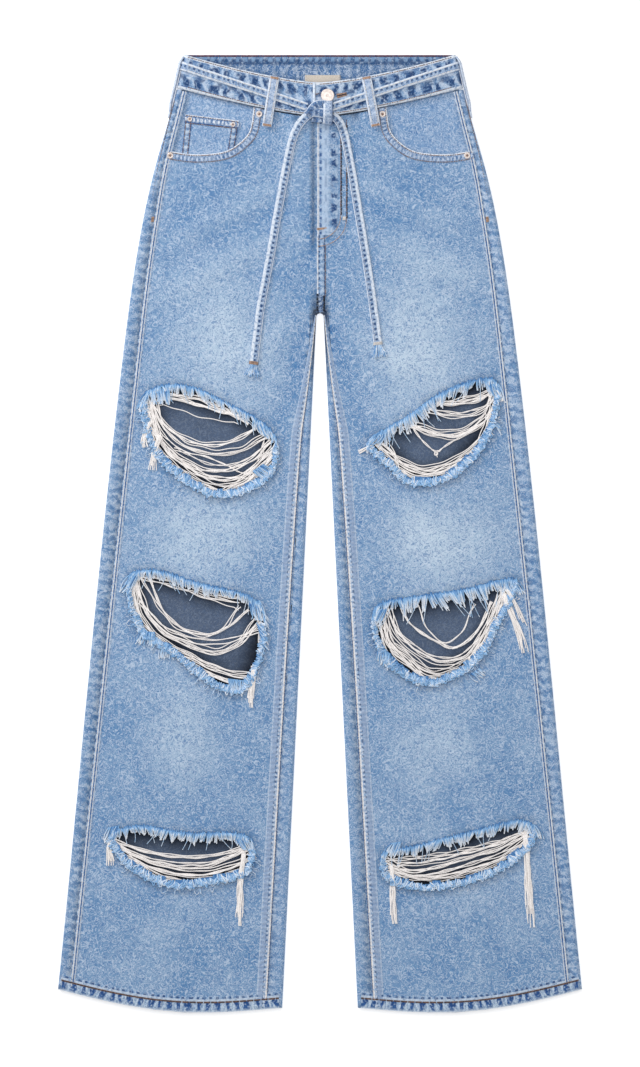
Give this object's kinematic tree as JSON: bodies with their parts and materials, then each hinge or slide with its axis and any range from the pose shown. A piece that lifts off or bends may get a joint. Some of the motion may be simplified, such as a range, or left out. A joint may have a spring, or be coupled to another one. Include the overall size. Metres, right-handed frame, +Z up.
{
  "type": "ripped jeans",
  "caption": "Light-wash wide-leg jeans with ripped fronts and a tie belt, laid flat and face up.",
  "frame": {"origin": "middle of the outline, on the surface the jeans lie on", "axes": "+X to the wearer's left, +Y along the garment from hem to waist, +Z up off the surface, out of the front"},
  "size_m": [0.5916, 1.0809, 0.0271],
  "materials": {
    "denim": "washed twill, soft and matt",
    "pocket_denim": "washed twill, less faded",
    "strap_denim": "washed twill with pale worn edges",
    "frayed_ends": "loose cotton yarn",
    "trim_metal": "plain satin metal",
    "label_cloth": "plain woven tape"
  },
  "bodies": {
    "root": {"back_leg_left": "denim", "back_leg_right": "denim", "button": "trim_metal", "coin_pocket": "pocket_denim", "front_leg_left": "denim", "front_leg_right": "denim", "front_loop_left": "strap_denim", "front_loop_right": "strap_denim", "knot_wrap": "strap_denim", "label": "label_cloth", "pocket_facing_left": "pocket_denim", "pocket_facing_right": "pocket_denim", "rivet_coin_inner": "trim_metal", "rivet_coin_outer": "trim_metal", "rivet_left_inner": "trim_metal", "rivet_left_outer": "trim_metal", "rivet_right_inner": "trim_metal", "rivet_right_outer": "trim_metal", "side_loop_left": "strap_denim", "side_loop_right": "strap_denim", "tassel_left": "frayed_ends", "tassel_right": "frayed_ends", "tie_belt": "strap_denim", "tie_end_left": "strap_denim", "tie_end_right": "strap_denim", "tie_knot": "strap_denim", "waistband": "denim", "yoke_left": "denim", "yoke_right": "denim"}
  },
  "joints": []
}
